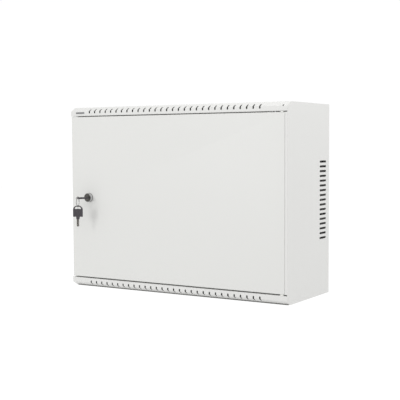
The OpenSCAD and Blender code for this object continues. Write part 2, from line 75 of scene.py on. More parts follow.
# Baked powder paint: even colour, a fine orange peel and a finer grain on top.
def powderCoat(name, look):
    material = bpy.data.materials.new(name)
    material.use_nodes = True
    tree = material.node_tree
    nodes, links = tree.nodes, tree.links
    nodes.clear()

    peelFrame = nodes.new("NodeFrame")
    peelFrame.label = "orange peel and grain"
    toneFrame = nodes.new("NodeFrame")
    toneFrame.label = "even tone, slightly clouded"
    glossFrame = nodes.new("NodeFrame")
    glossFrame.label = "patchy gloss"

    place = nodes.new("ShaderNodeTexCoord")
    place.label = "place on the sheet"
    place.location = (-1300, 0)

    cloud = nodes.new("ShaderNodeTexNoise")
    cloud.label = "slow drift of paint thickness"
    cloud.location = (-900, 420)
    cloud.parent = toneFrame
    cloud.inputs["Scale"].default_value = look["cloudScale"]
    cloud.inputs["Detail"].default_value = look["cloudDetail"]
    tone = nodes.new("ShaderNodeMix")
    tone.label = "thin paint to full paint"
    tone.data_type = "RGBA"
    tone.location = (-500, 420)
    tone.parent = toneFrame
    tone.inputs["A"].default_value = (*[c * look["cloudDepth"] for c in look["color"]], 1)
    tone.inputs["B"].default_value = (*look["color"], 1)

    gloss = nodes.new("ShaderNodeTexNoise")
    gloss.label = "handled and untouched areas"
    gloss.location = (-900, 100)
    gloss.parent = glossFrame
    gloss.inputs["Scale"].default_value = look["glossScale"]
    gloss.inputs["Detail"].default_value = look["glossDetail"]
    glossRange = nodes.new("ShaderNodeMapRange")
    glossRange.label = "roughness of cured powder"
    glossRange.location = (-500, 100)
    glossRange.parent = glossFrame
    glossRange.inputs["To Min"].default_value = look["roughness"] - look["roughnessSpread"]
    glossRange.inputs["To Max"].default_value = look["roughness"] + look["roughnessSpread"]

    peel = nodes.new("ShaderNodeTexNoise")
    peel.label = "orange peel"
    peel.location = (-900, -220)
    peel.parent = peelFrame
    peel.inputs["Scale"].default_value = look["peelScale"]
    peel.inputs["Detail"].default_value = look["peelDetail"]
    grain = nodes.new("ShaderNodeTexNoise")
    grain.label = "powder grain"
    grain.location = (-900, -520)
    grain.parent = peelFrame
    grain.inputs["Scale"].default_value = look["grainScale"]
    grain.inputs["Detail"].default_value = look["grainDetail"]
    peelBump = nodes.new("ShaderNodeBump")
    peelBump.label = "peel height"
    peelBump.location = (-500, -220)
    peelBump.parent = peelFrame
    peelBump.inputs["Strength"].default_value = look["peelStrength"]
    peelBump.inputs["Distance"].default_value = look["peelHeight"]
    grainBump = nodes.new("ShaderNodeBump")
    grainBump.label = "grain height"
    grainBump.location = (-250, -420)
    grainBump.parent = peelFrame
    grainBump.inputs["Strength"].default_value = look["grainStrength"]
    grainBump.inputs["Distance"].default_value = look["grainHeight"]

    paint = nodes.new("ShaderNodeBsdfPrincipled")
    paint.label = "cured powder paint"
    paint.location = (100, 100)
    paint.inputs["Specular IOR Level"].default_value = look["specular"]
    out = nodes.new("ShaderNodeOutputMaterial")
    out.label = "painted sheet"
    out.location = (450, 100)

    for texture in (cloud, gloss, peel, grain):
        links.new(place.outputs["Object"], texture.inputs["Vector"])
    links.new(cloud.outputs["Fac"], tone.inputs["Factor"])
    links.new(tone.outputs["Result"], paint.inputs["Base Color"])
    links.new(gloss.outputs["Fac"], glossRange.inputs["Value"])
    links.new(glossRange.outputs["Result"], paint.inputs["Roughness"])
    links.new(peel.outputs["Fac"], peelBump.inputs["Height"])
    links.new(grain.outputs["Fac"], grainBump.inputs["Height"])
    links.new(peelBump.outputs["Normal"], grainBump.inputs["Normal"])
    links.new(grainBump.outputs["Normal"], paint.inputs["Normal"])
    links.new(paint.outputs["BSDF"], out.inputs["Surface"])
    return material


# Plated or bare metal: drawn lines along one axis, cloudy tone and patchy gloss.
def platedMetal(name, look):
    material = bpy.data.materials.new(name)
    material.use_nodes = True
    tree = material.node_tree
    nodes, links = tree.nodes, tree.links
    nodes.clear()

    lineFrame = nodes.new("NodeFrame")
    lineFrame.label = "drawn lines"
    toneFrame = nodes.new("NodeFrame")
    toneFrame.label = "plating tone"

    place = nodes.new("ShaderNodeTexCoord")
    place.label = "place on the metal"
    place.location = (-1500, 0)
    stretch = nodes.new("ShaderNodeMapping")
    stretch.label = "pull the noise into lines"
    stretch.location = (-1250, -250)
    stretch.parent = lineFrame
    stretch.inputs["Scale"].default_value = look["lineStretch"]
    lines = nodes.new("ShaderNodeTexNoise")
    lines.label = "rolling and brushing marks"
    lines.location = (-1000, -250)
    lines.parent = lineFrame
    lines.inputs["Scale"].default_value = look["lineScale"]
    lines.inputs["Detail"].default_value = look["lineDetail"]
    lineBump = nodes.new("ShaderNodeBump")
    lineBump.label = "depth of the marks"
    lineBump.location = (-450, -250)
    lineBump.parent = lineFrame
    lineBump.inputs["Strength"].default_value = look["lineStrength"]
    lineBump.inputs["Distance"].default_value = look["lineHeight"]

    spangle = nodes.new("ShaderNodeTexVoronoi")
    spangle.label = "crystals in the plating"
    spangle.location = (-1000, 350)
    spangle.parent = toneFrame
    spangle.inputs["Scale"].default_value = look["spangleScale"]
    cloud = nodes.new("ShaderNodeTexNoise")
    cloud.label = "clouded film"
    cloud.location = (-1000, 80)
    cloud.parent = toneFrame
    cloud.inputs["Scale"].default_value = look["cloudScale"]
    cloud.inputs["Detail"].default_value = look["cloudDetail"]
    blendTone = nodes.new("ShaderNodeMix")
    blendTone.label = "crystals over cloud"
    blendTone.data_type = "FLOAT"
    blendTone.location = (-750, 250)
    blendTone.parent = toneFrame
    blendTone.inputs["Factor"].default_value = look["spangleShare"]
    tone = nodes.new("ShaderNodeMix")
    tone.label = "dull to bright"
    tone.data_type = "RGBA"
    tone.location = (-450, 300)
    tone.parent = toneFrame
    tone.inputs["A"].default_value = (*look["dull"], 1)
    tone.inputs["B"].default_value = (*look["bright"], 1)
    polish = nodes.new("ShaderNodeMapRange")
    polish.label = "polish"
    polish.location = (-450, 50)
    polish.parent = toneFrame
    polish.inputs["To Min"].default_value = look["roughness"] + look["roughnessSpread"]
    polish.inputs["To Max"].default_value = look["roughness"] - look["roughnessSpread"]

    metal = nodes.new("ShaderNodeBsdfPrincipled")
    metal.label = "metal"
    metal.location = (-100, 100)
    metal.inputs["Metallic"].default_value = 1.0
    out = nodes.new("ShaderNodeOutputMaterial")
    out.label = "metal surface"
    out.location = (250, 100)

    links.new(place.outputs["Object"], stretch.inputs["Vector"])
    links.new(stretch.outputs["Vector"], lines.inputs["Vector"])
    links.new(place.outputs["Object"], spangle.inputs["Vector"])
    links.new(place.outputs["Object"], cloud.inputs["Vector"])
    links.new(cloud.outputs["Fac"], blendTone.inputs["A"])
    links.new(spangle.outputs["Distance"], blendTone.inputs["B"])
    links.new(blendTone.outputs["Result"], tone.inputs["Factor"])
    links.new(blendTone.outputs["Result"], polish.inputs["Value"])
    links.new(tone.outputs["Result"], metal.inputs["Base Color"])
    links.new(polish.outputs["Result"], metal.inputs["Roughness"])
    links.new(lines.outputs["Fac"], lineBump.inputs["Height"])
    links.new(lineBump.outputs["Normal"], metal.inputs["Normal"])
    links.new(metal.outputs["BSDF"], out.inputs["Surface"])
    return material


# Moulded plastic or rubber: spark-eroded grain, faint flow marks and rubbed patches.
def mouldedPlastic(name, look):
    material = bpy.data.materials.new(name)
    material.use_nodes = True
    tree = material.node_tree
    nodes, links = tree.nodes, tree.links
    nodes.clear()

    grainFrame = nodes.new("NodeFrame")
    grainFrame.label = "mould grain"
    rubFrame = nodes.new("NodeFrame")
    rubFrame.label = "flow marks and rubbed patches"

    place = nodes.new("ShaderNodeTexCoord")
    place.label = "place on the moulding"
    place.location = (-1200, 0)
    grain = nodes.new("ShaderNodeTexVoronoi")
    grain.label = "grain of the mould"
    grain.location = (-850, -250)
    grain.parent = grainFrame
    grain.inputs["Scale"].default_value = look["grainScale"]
    grainBump = nodes.new("ShaderNodeBump")
    grainBump.label = "grain height"
    grainBump.location = (-450, -250)
    grainBump.parent = grainFrame
    grainBump.inputs["Strength"].default_value = look["grainStrength"]
    grainBump.inputs["Distance"].default_value = look["grainHeight"]
    rub = nodes.new("ShaderNodeTexNoise")
    rub.label = "rubbed by fingers"
    rub.location = (-850, 200)
    rub.parent = rubFrame
    rub.inputs["Scale"].default_value = look["rubScale"]
    rub.inputs["Detail"].default_value = look["rubDetail"]
    tone = nodes.new("ShaderNodeMix")
    tone.label = "fresh to rubbed"
    tone.data_type = "RGBA"
    tone.location = (-450, 300)
    tone.parent = rubFrame
    tone.inputs["A"].default_value = (*look["color"], 1)
    tone.inputs["B"].default_value = (*look["rubbedColor"], 1)
    sheenRange = nodes.new("ShaderNodeMapRange")
    sheenRange.label = "dull to shiny"
    sheenRange.location = (-450, 50)
    sheenRange.parent = rubFrame
    sheenRange.inputs["To Min"].default_value = look["roughness"] + look["roughnessSpread"]
    sheenRange.inputs["To Max"].default_value = look["roughness"] - look["roughnessSpread"]

    plastic = nodes.new("ShaderNodeBsdfPrincipled")
    plastic.label = "moulded body"
    plastic.location = (-100, 100)
    plastic.inputs["Specular IOR Level"].default_value = look["specular"]
    out = nodes.new("ShaderNodeOutputMaterial")
    out.label = "moulding"
    out.location = (250, 100)

    links.new(place.outputs["Object"], grain.inputs["Vector"])
    links.new(place.outputs["Object"], rub.inputs["Vector"])
    links.new(grain.outputs["Distance"], grainBump.inputs["Height"])
    links.new(rub.outputs["Fac"], tone.inputs["Factor"])
    links.new(rub.outputs["Fac"], sheenRange.inputs["Value"])
    links.new(tone.outputs["Result"], plastic.inputs["Base Color"])
    links.new(sheenRange.outputs["Result"], plastic.inputs["Roughness"])
    links.new(grainBump.outputs["Normal"], plastic.inputs["Normal"])
    links.new(plastic.outputs["BSDF"], out.inputs["Surface"])
    return material


paintLook = {
    "color": (0.600, 0.600, 0.587), "cloudDepth": 0.975, "cloudScale": 4.0, "cloudDetail": 2.0,
    "roughness": 0.46, "roughnessSpread": 0.06, "glossScale": 9.0, "glossDetail": 4.0,
    "peelScale": 620.0, "peelDetail": 1.5, "peelStrength": 0.35, "peelHeight": 0.00010,
    "grainScale": 2600.0, "grainDetail": 2.0, "grainStrength": 0.25, "grainHeight": 0.00004,
    "specular": 0.42,
}
doorPaintLook = dict(paintLook, color=(0.600, 0.601, 0.586))
zincLook = {
    "dull": (0.50, 0.52, 0.55), "bright": (0.74, 0.76, 0.78), "roughness": 0.36,
    "roughnessSpread": 0.10, "cloudScale": 60.0, "cloudDetail": 5.0, "spangleScale": 420.0,
    "spangleShare": 0.45, "lineStretch": (1.0, 1.0, 0.03), "lineScale": 1500.0,
    "lineDetail": 3.0, "lineStrength": 0.25, "lineHeight": 0.00003,
}
fastenerLook = dict(
    zincLook, dull=(0.56, 0.57, 0.58), bright=(0.80, 0.80, 0.79), roughness=0.28,
    cloudScale=260.0, spangleScale=1400.0, spangleShare=0.25, lineStretch=(1.0, 1.0, 1.0))
pinLook = dict(
    zincLook, dull=(0.40, 0.40, 0.41), bright=(0.62, 0.62, 0.62), roughness=0.30,
    cloudScale=300.0, spangleShare=0.1, lineStretch=(0.05, 0.05, 1.0))
chromeLook = {
    "dull": (0.50, 0.50, 0.51), "bright": (0.72, 0.72, 0.73), "roughness": 0.13,
    "roughnessSpread": 0.05, "cloudScale": 220.0, "cloudDetail": 5.0, "spangleScale": 900.0,
    "spangleShare": 0.1, "lineStretch": (1.0, 0.06, 1.0), "lineScale": 2600.0,
    "lineDetail": 3.0, "lineStrength": 0.12, "lineHeight": 0.00001,
}
plugLook = dict(
    chromeLook, dull=(0.055, 0.053, 0.05), bright=(0.17, 0.165, 0.155), roughness=0.32,
    roughnessSpread=0.08)
nickelLook = dict(
    chromeLook, dull=(0.085, 0.08, 0.073), bright=(0.21, 0.20, 0.182), roughness=0.28,
    roughnessSpread=0.10, lineStretch=(1.0, 1.0, 0.05), lineStrength=0.3,
    lineHeight=0.00002)
ringLook = dict(
    chromeLook, dull=(0.24, 0.24, 0.24), bright=(0.58, 0.58, 0.57), roughness=0.18)
keyPlasticLook = {
    "color": (0.020, 0.017, 0.021), "rubbedColor": (0.036, 0.030, 0.038), "roughness": 0.42,
    "roughnessSpread": 0.12, "rubScale": 180.0, "rubDetail": 5.0, "grainScale": 2400.0,
    "grainStrength": 0.35, "grainHeight": 0.00005, "specular": 0.5,
}
rubberLook = dict(
    keyPlasticLook, color=(0.022, 0.022, 0.023), rubbedColor=(0.045, 0.045, 0.047),
    roughness=0.72, roughnessSpread=0.08, rubScale=70.0, grainScale=1500.0, specular=0.35)
nylonLook = dict(
    keyPlasticLook, color=(0.80, 0.80, 0.77), rubbedColor=(0.70, 0.70, 0.67), roughness=0.40,
    roughnessSpread=0.06, rubScale=300.0)
badgeLook = dict(
    keyPlasticLook, color=(0.115, 0.115, 0.12), rubbedColor=(0.155, 0.155, 0.16),
    roughness=0.50, roughnessSpread=0.05, rubScale=240.0)

finish = {
    "body_paint": powderCoat("bodyPowderCoat", paintLook),
    "door_paint": powderCoat("doorPowderCoat", doorPaintLook),
    "rail_zinc": platedMetal("railZinc", zincLook),
    "fastener_zinc": platedMetal("fastenerZinc", fastenerLook),
    "pin_steel": platedMetal("pinSteel", pinLook),
    "lock_chrome": platedMetal("lockChrome", chromeLook),
    "plug_face": platedMetal("plugDarkChrome", plugLook),
    "key_nickel": platedMetal("keyNickel", nickelLook),
    "ring_steel": platedMetal("ringSteel", ringLook),
    "key_plastic": mouldedPlastic("keyHeadPlastic", keyPlasticLook),
    "black_rubber": mouldedPlastic("blackRubber", rubberLook),
    "white_nylon": mouldedPlastic("whiteNylon", nylonLook),
    "badge": mouldedPlastic("badgePlastic", badgeLook),
}
print("stage: finishes", len(finish))


bodyOfNode = {
    nodeName: bodyName
    for bodyName, nodeNames in frame["record"]["behaviour"]["bodies"].items()
    for nodeName in nodeNames
}
slotOfNode = {row["node"]: row["material_slot"] for row in frame["record"]["subparts"]}


# The piece stands for the CAD node: same body, same slot, and that slot's finish.
def settle(piece, nodeName):
    slotName = slotOfNode[nodeName]
    piece.data.materials.clear()
    piece.data.materials.append(finish[slotName])
    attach(piece, bodyOfNode[nodeName])
    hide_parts(nodeName)
    return piece


# A smooth-shaded object from an array of points and a list of faces, normals outwards.
def meshPiece(name, points, faces, sharpDegrees=35):
    mesh = bpy.data.meshes.new(name)
    mesh.from_pydata(points.tolist(), [], faces)
    sheet = bmesh.new()
    sheet.from_mesh(mesh)
    bmesh.ops.remove_doubles(sheet, verts=sheet.verts, dist=mergeGap)
    bmesh.ops.recalc_face_normals(sheet, faces=sheet.faces)
    sheet.to_mesh(mesh)
    sheet.free()
    mesh.polygons.foreach_set("use_smooth", np.ones(len(mesh.polygons), dtype=bool))
    mesh.set_sharp_from_angle(angle=math.radians(sharpDegrees))
    piece = bpy.data.objects.new(name, mesh)
    bpy.context.scene.collection.objects.link(piece)
    return piece


# Quads of a grid of points, closed on itself along rows or columns where asked.
def gridFaces(rows, columns, wrapRows, wrapColumns, first=0):
    i = np.arange(rows if wrapRows else rows - 1)
    j = np.arange(columns if wrapColumns else columns - 1)
    i, j = np.meshgrid(i, j, indexing="ij")
    nextI, nextJ = (i + 1) % rows, (j + 1) % columns
    quads = np.stack([i * columns + j, nextI * columns + j,
                      nextI * columns + nextJ, i * columns + nextJ], axis=-1)
    return (quads.reshape(-1, 4) + first).tolist()


# A closed outline with each corner replaced by a curve that leaves the two sides at
# one radius from the corner: (1-s)^2 start + 2s(1-s) corner + s^2 end.
def roundedOutline(corners, radius, steps=5):
    sideShare = 0.45   # the most of a side that one corner may take
    corners = np.asarray(corners, dtype=float)
    before = np.roll(corners, 1, axis=0) - corners
    after = np.roll(corners, -1, axis=0) - corners
    beforeLength = np.linalg.norm(before, axis=1)
    afterLength = np.linalg.norm(after, axis=1)
    reach = np.minimum(radius, sideShare * np.minimum(beforeLength, afterLength))[:, None]
    start = corners + before / beforeLength[:, None] * reach
    end = corners + after / afterLength[:, None] * reach
    s = np.linspace(0, 1, steps)[None, :, None]
    curve = ((1 - s) ** 2 * start[:, None] + 2 * s * (1 - s) * corners[:, None]
             + s ** 2 * end[:, None])
    return curve.reshape(-1, 2)


# Points of a profile (radius, height) turned round the height axis. A thread is cut
# between two heights: radius less depth times a triangle wave of height/pitch + turn.
def turnedArrays(profile, around, thread=None):
    profile = np.asarray(profile, dtype=float)
    angle = np.linspace(0, 2 * math.pi, around, endpoint=False)[None, :]
    radius = np.repeat(profile[:, :1], around, axis=1)
    height = np.repeat(profile[:, 1:], around, axis=1)
    if thread:
        phase = (height / thread["pitch"] + angle / (2 * math.pi)) % 1.0
        inside = (height > thread["low"]) & (height < thread["high"])
        outer = radius > thread["core"]
        radius = radius - inside * outer * thread["depth"] * np.abs(2 * phase - 1)
    return np.stack([radius * np.cos(angle), radius * np.sin(angle), height], axis=-1)


# Rotation that takes the height axis z to the given axis.
def axisTurn(axis):
    return np.array(Vector((0, 0, 1)).rotation_difference(Vector(axis)).to_matrix())


# Points turned so that z lies along the axis, then moved to the origin given.
def placed(points, axis, origin):
    return points @ axisTurn(axis).T + np.asarray(origin)


# A closed profile turned into a ring-shaped solid.
def turnedRing(name, profile, axis, origin):
    points = turnedArrays(profile, fineRound)
    faces = gridFaces(len(points), fineRound, True, True)
    return meshPiece(name, placed(points.reshape(-1, 3), axis, origin), faces)


# Points along a line of straight runs, at most one spacing apart.
def denseLine(stations, spacing):
    stations = np.asarray(stations, dtype=float)
    parts = [np.linspace(a, b, max(2, int(np.linalg.norm(b - a) / spacing) + 2))[:-1]
             for a, b in zip(stations[:-1], stations[1:])]
    return np.vstack(parts + [stations[-1:]])


edgeWork = {   # radius left on the edges, in millimetres
    "top_panel": 0.35, "bottom_panel": 0.35, "left_side_panel": 0.35, "right_side_panel": 0.35,
    "back_panel": 0.35, "door_panel": 0.35, "bottom_entry_cover": 0.3,
    "rail_left": 0.3, "rail_right": 0.3,
    "rail_bracket_top_left": 0.3, "rail_bracket_top_right": 0.3,
    "rail_bracket_bottom_left": 0.3, "rail_bracket_bottom_right": 0.3,
    "hinge_plate_top": 0.3, "hinge_plate_bottom": 0.3, "rail_nuts": 0.35,
    "body_earth_washers": 0.2, "body_earth_nut": 0.45, "door_earth_washer": 0.2,
    "door_earth_nut": 0.45, "badge_plate": 0.2, "lock_nut": 0.45, "lock_cam": 0.35,
}
edgeFinish = {"merge": 1e-6, "flatDegrees": 0.6, "sharpDegrees": 28, "bevelDegrees": 32,
              "segments": 2}


# Copy of a CAD node with its triangles merged, flats joined and edges rounded.
def workedCopy(nodeName, edgeRadius):
    source = frame["nodes"][nodeName]
    mesh = source.data.copy()
    sheet = bmesh.new()
    sheet.from_mesh(mesh)
    bmesh.ops.remove_doubles(sheet, verts=sheet.verts, dist=edgeFinish["merge"])
    bmesh.ops.dissolve_limit(sheet, angle_limit=math.radians(edgeFinish["flatDegrees"]),
                             verts=sheet.verts, edges=sheet.edges)
    sheet.to_mesh(mesh)
    sheet.free()
    mesh.polygons.foreach_set("use_smooth", np.ones(len(mesh.polygons), dtype=bool))
    mesh.set_sharp_from_angle(angle=math.radians(edgeFinish["sharpDegrees"]))
    piece = bpy.data.objects.new(nodeName + "_finished", mesh)
    bpy.context.scene.collection.objects.link(piece)
    rounding = piece.modifiers.new("worked edges", "BEVEL")
    rounding.width = edgeRadius * mm
    rounding.segments = edgeFinish["segments"]
    rounding.limit_method = "ANGLE"
    rounding.angle_limit = math.radians(edgeFinish["bevelDegrees"])
    rounding.harden_normals = True
    rounding.use_clamp_overlap = True
    return settle(piece, nodeName)


for nodeName, edgeRadius in edgeWork.items():
    workedCopy(nodeName, edgeRadius)
print("stage: sheets and stampings", len(edgeWork))


bushShape = {"collarRadius": 4.5, "barrelRadius": 3.2, "boreRadius": 2.05, "edge": 0.35,
             "barrel": 6.0}
pinShape = {"headRadius": 2.8, "headHeight": 1.5, "rimIn": 0.5, "rimUp": 0.4, "radius": 2.0,
            "nose": 0.7, "noseLength": 1.0, "spacing": 1.2}

for end, upwards in (("top", 1), ("bottom", -1)):
    low, high, middle = boxOf("hinge_bush_" + end)
    barrel = bushShape["barrel"]
    seat = low[2] + barrel * mm if end == "top" else high[2] - barrel * mm
    collar = (high[2] - low[2]) / mm - barrel
    outline = np.array([
        [bushShape["boreRadius"], -barrel], [bushShape["barrelRadius"], -barrel],
        [bushShape["barrelRadius"], 0], [bushShape["collarRadius"], 0],
        [bushShape["collarRadius"], collar], [bushShape["boreRadius"], collar]])
    bush = turnedRing("hingeBush_" + end, roundedOutline(outline, bushShape["edge"]) * mm,
                      (0, 0, upwards), (middle[0], middle[1], seat))
    settle(bush, "hinge_bush_" + end)

    low, high, middle = boxOf("hinge_pin_" + end)
    length = (high[2] - low[2]) / mm
    headEnd = high[2] if end == "top" else low[2]
    line = denseLine([
        [0, 0], [pinShape["headRadius"] - pinShape["rimIn"], 0],
        [pinShape["headRadius"], pinShape["rimUp"]],
        [pinShape["headRadius"], pinShape["headHeight"]],
        [pinShape["radius"], pinShape["headHeight"]],
        [pinShape["radius"], length - pinShape["noseLength"]],
        [pinShape["radius"] - pinShape["nose"], length], [0, length]], pinShape["spacing"])
    points = turnedArrays(line * mm, coarseRound)
    faces = gridFaces(len(points), coarseRound, False, True)
    points = placed(points.reshape(-1, 3), (0, 0, -upwards), (middle[0], middle[1], headEnd))
    settle(meshPiece("hingePin_" + end, points, faces), "hinge_pin_" + end)
print("stage: hinges")


railScrew = {"headRadius": 4.6, "headHeight": 2.8, "radius": 2.5, "length": 10.0,
             "pitch": 0.8, "crossHalf": 0.55, "crossReach": 2.4, "crossDepth": 1.7}
coverScrew = {"headRadius": 3.8, "headHeight": 2.4, "radius": 2.0, "length": 2.2,
              "pitch": 0.7, "crossHalf": 0.45, "crossReach": 2.0, "crossDepth": 1.4}
camScrew = {"headRadius": 4.8, "headHeight": 2.5, "radius": 2.0, "length": 8.0,
            "pitch": 0.7, "crossHalf": 0.5, "crossReach": 2.3, "crossDepth": 1.4}
panHead = {   # what the three screws have in common
    "domeSteps": 22, "domeShare": 0.75, "point": 0.5, "threadStart": 0.6, "threadStop": 0.4,
    "threadDepth": 0.3, "coreShare": 0.8, "crossFade": 0.1, "crossRamp": 0.5,
    "crossLevel": -0.3, "sharpDegrees": 30,
}


# Domed head with a cross recess, then a threaded shank along +z from z = 0. The recess
# lowers the dome where |x| or |y| is small, and fades out at its sides and ends.
def panScrewPoints(shape):
    rim, tall, length = shape["headRadius"], shape["headHeight"], shape["length"]
    quarter = np.linspace(0, 1, panHead["domeSteps"]) * math.pi / 2
    dome = np.stack([rim * np.sin(quarter),
                     -tall + panHead["domeShare"] * tall * (1 - np.cos(quarter))], axis=-1)
    rest = denseLine([[rim, 0], [shape["radius"], 0],
                      [shape["radius"], length - panHead["point"]],
                      [shape["radius"] - panHead["point"], length], [0, length]],
                     shape["pitch"] / 4)
    profile = np.vstack([dome, rest])
    thread = {"low": panHead["threadStart"], "high": length - panHead["threadStop"],
              "pitch": shape["pitch"], "depth": panHead["threadDepth"],
              "core": shape["radius"] * panHead["coreShare"]}
    points = turnedArrays(profile, coarseRound, thread)
    x, y, z = points[..., 0], points[..., 1], points[..., 2]
    narrow = np.minimum(np.abs(x), np.abs(y))
    wide = np.maximum(np.abs(x), np.abs(y))
    fade = panHead["crossFade"]
    across = np.clip((shape["crossHalf"] + fade - narrow) / fade, 0, 1)
    along = np.clip((shape["crossReach"] - wide) / panHead["crossRamp"], 0, 1)
    sunk = z + shape["crossDepth"] * across * along
    points[..., 2] = np.where(z < panHead["crossLevel"], sunk, z)
    return points


# One mesh of separate screws. Each place is (head seat point, shank direction).
def screwPiece(name, shape, places):
    base = panScrewPoints(shape) * mm
    rows, columns = base.shape[:2]
    flat = base.reshape(-1, 3)
    points = np.vstack([placed(flat, axis, seat) for seat, axis in places])
    faces = [face for k in range(len(places))
             for face in gridFaces(rows, columns, False, True, first=k * len(flat))]
    return meshPiece(name, points, faces, panHead["sharpDegrees"])


railSheet = 2.0   # thickness of the rail that the screws' heads lie on
railLow, railHigh = boxOf("rail_screws")[:2]
headOut = railScrew["headRadius"] * mm
railInnerX = boxOf("rail_right")[1][0] - railSheet * mm
screwPlaces = [
    ((sx * railInnerX, y, z), (sx, 0, 0))
    for sx in (-1, 1)
    for y in (railLow[1] + headOut, railHigh[1] - headOut)
    for z in (railLow[2] + headOut, railHigh[2] - headOut)
]
settle(screwPiece("railScrews", railScrew, screwPlaces), "rail_screws")

coverLow, coverHigh = boxOf("cover_screws")[:2]
headOut = coverScrew["headRadius"] * mm
seatZ = boxOf("bottom_entry_cover")[1][2]
screwPlaces = [
    ((x, y, seatZ), (0, 0, -1))
    for x in (coverLow[0] + headOut, coverHigh[0] - headOut)
    for y in (coverLow[1] + headOut, coverHigh[1] - headOut)
]
settle(screwPiece("coverScrews", coverScrew, screwPlaces), "cover_screws")

camHigh, camMiddle = boxOf("cam_screw")[1:]
seatY = camHigh[1] - camScrew["headHeight"] * mm
settle(screwPiece("camScrew", camScrew, [((camMiddle[0], seatY, camMiddle[2]), (0, -1, 0))]),
       "cam_screw")

studShape = {"chamfer": 0.8, "spacing": 0.22, "threadStart": 1.0, "threadStop": 0.6,
             "pitch": 1.0, "depth": 0.5, "coreShare": 0.8}


# A chamfered stud with a cut thread, filling the CAD node's box along y.
def threadedStud(name, nodeName, towards):
    low, high, middle = boxOf(nodeName)
    radius = (high[0] - low[0]) / 2 / mm
    length = (high[1] - low[1]) / mm
    chamfer = studShape["chamfer"]
    line = denseLine([[0, 0], [radius, 0], [radius, length - chamfer],
                      [radius - chamfer, length], [0, length]], studShape["spacing"])
    thread = {"low": studShape["threadStart"], "high": length - studShape["threadStop"],
              "pitch": studShape["pitch"], "depth": studShape["depth"],
              "core": radius * studShape["coreShare"]}
    points = turnedArrays(line, coarseRound, thread) * mm
    root = (middle[0], low[1] if towards > 0 else high[1], middle[2])
    faces = gridFaces(len(points), coarseRound, False, True)
    stud = meshPiece(name, placed(points.reshape(-1, 3), (0, towards, 0), root), faces)
    return settle(stud, nodeName)


threadedStud("bodyEarthStud", "body_earth_stud", -1)
threadedStud("doorEarthStud", "door_earth_stud", 1)


washerShape = {"teeth": 12, "stepsPerTooth": 12, "innerShare": 0.74, "edge": 0.12,
               "edgeSteps": 3, "gapFrom": 0.55, "gapDepth": 0.55, "sheetShare": 0.5,
               "bendLag": 0.8}


# Lock washer: a flat ring whose outer rim is cut into teeth that are bent in turn.
# Height lifts by the bend times how far out the point lies, along a tooth wave.
def toothedWasherPoints(outer, thick):
    inner = outer * washerShape["innerShare"]
    around = washerShape["teeth"] * washerShape["stepsPerTooth"]
    angle = np.linspace(0, 2 * math.pi, around, endpoint=False)[None, :]
    toothAngle = washerShape["teeth"] * angle
    loop = roundedOutline([[0, 0], [1, 0], [1, 1], [0, 1]], washerShape["edge"],
                          washerShape["edgeSteps"])
    outwards, up = loop[:, :1], loop[:, 1:]
    gap = np.clip((-np.cos(toothAngle) - washerShape["gapFrom"])
                  / (1 - washerShape["gapFrom"]), 0, 1)
    radius = inner + (outer - inner) * outwards * (1 - washerShape["gapDepth"] * gap)
    bend = 0.5 + 0.5 * np.sin(toothAngle + washerShape["bendLag"])
    sheet = washerShape["sheetShare"] * thick
    height = sheet * up + (thick - sheet) * bend * outwards
    return np.stack([radius * np.cos(angle), radius * np.sin(angle), height], axis=-1)


low, high, middle = boxOf("lock_washer")
grid = toothedWasherPoints((high[0] - low[0]) / 2, high[1] - low[1])
lockWasher = meshPiece(
    "lockWasher", placed(grid.reshape(-1, 3), (0, 1, 0), (middle[0], low[1], middle[2])),
    gridFaces(*grid.shape[:2], True, True))
settle(lockWasher, "lock_washer")
print("stage: fasteners")


bufferShape = {"radius": 4.5, "height": 2.8, "dome": 1.1, "domeSteps": 12,
               "fullness": 0.6, "footEdge": 0.2}
low, high, middle = boxOf("door_buffers")
wide, dome, foot = (bufferShape[part] for part in ("radius", "dome", "footEdge"))
quarter = np.linspace(0, 1, bufferShape["domeSteps"]) * math.pi / 2
domeLine = np.stack([wide * np.cos(quarter) ** bufferShape["fullness"],
                     bufferShape["height"] - dome + dome * np.sin(quarter)], axis=-1)
bufferLine = np.vstack([[[0, 0], [wide - foot, 0], [wide, foot]], domeLine])
bufferFlat = (turnedArrays(bufferLine, coarseRound) * mm).reshape(-1, 3)
bufferZ = (low[2] + wide * mm, high[2] - wide * mm)
points = np.vstack([placed(bufferFlat, (0, -1, 0), (middle[0], high[1], z)) for z in bufferZ])
faces = [face for k in range(len(bufferZ))
         for face in gridFaces(len(bufferLine), coarseRound, False, True,
                               first=k * len(bufferFlat))]
settle(meshPiece("doorBuffers", points, faces), "door_buffers")

# rubber edging of the cable entry: one grip section carried round a rounded rectangle
trimShape = {"grip": 3.0, "skin": 1.2, "sheet": 1.2, "corner": 2.2, "cornerSteps": 9,
             "edge": 0.5}
low, high, middle = boxOf("top_entry_trim")
sheetTop = high[2] - trimShape["skin"] * mm
halfX = (high[0] - low[0]) / 2 - trimShape["grip"] * mm
halfY = (high[1] - low[1]) / 2 - trimShape["grip"] * mm
path = roundedOutline(
    [[halfX, halfY], [-halfX, halfY], [-halfX, -halfY], [halfX, -halfY]],
    trimShape["corner"] * mm, trimShape["cornerSteps"])
heading = np.roll(path, -1, axis=0) - np.roll(path, 1, axis=0)
heading /= np.linalg.norm(heading, axis=1)[:, None]
outward = np.stack([heading[:, 1], -heading[:, 0]], axis=-1)
grip, skin, under = trimShape["grip"], trimShape["skin"], -trimShape["sheet"]
section = roundedOutline([
    [grip, skin], [-skin, skin], [-skin, under - skin], [grip, under - skin],
    [grip, under], [0, under], [0, 0], [grip, 0]], trimShape["edge"]) * mm
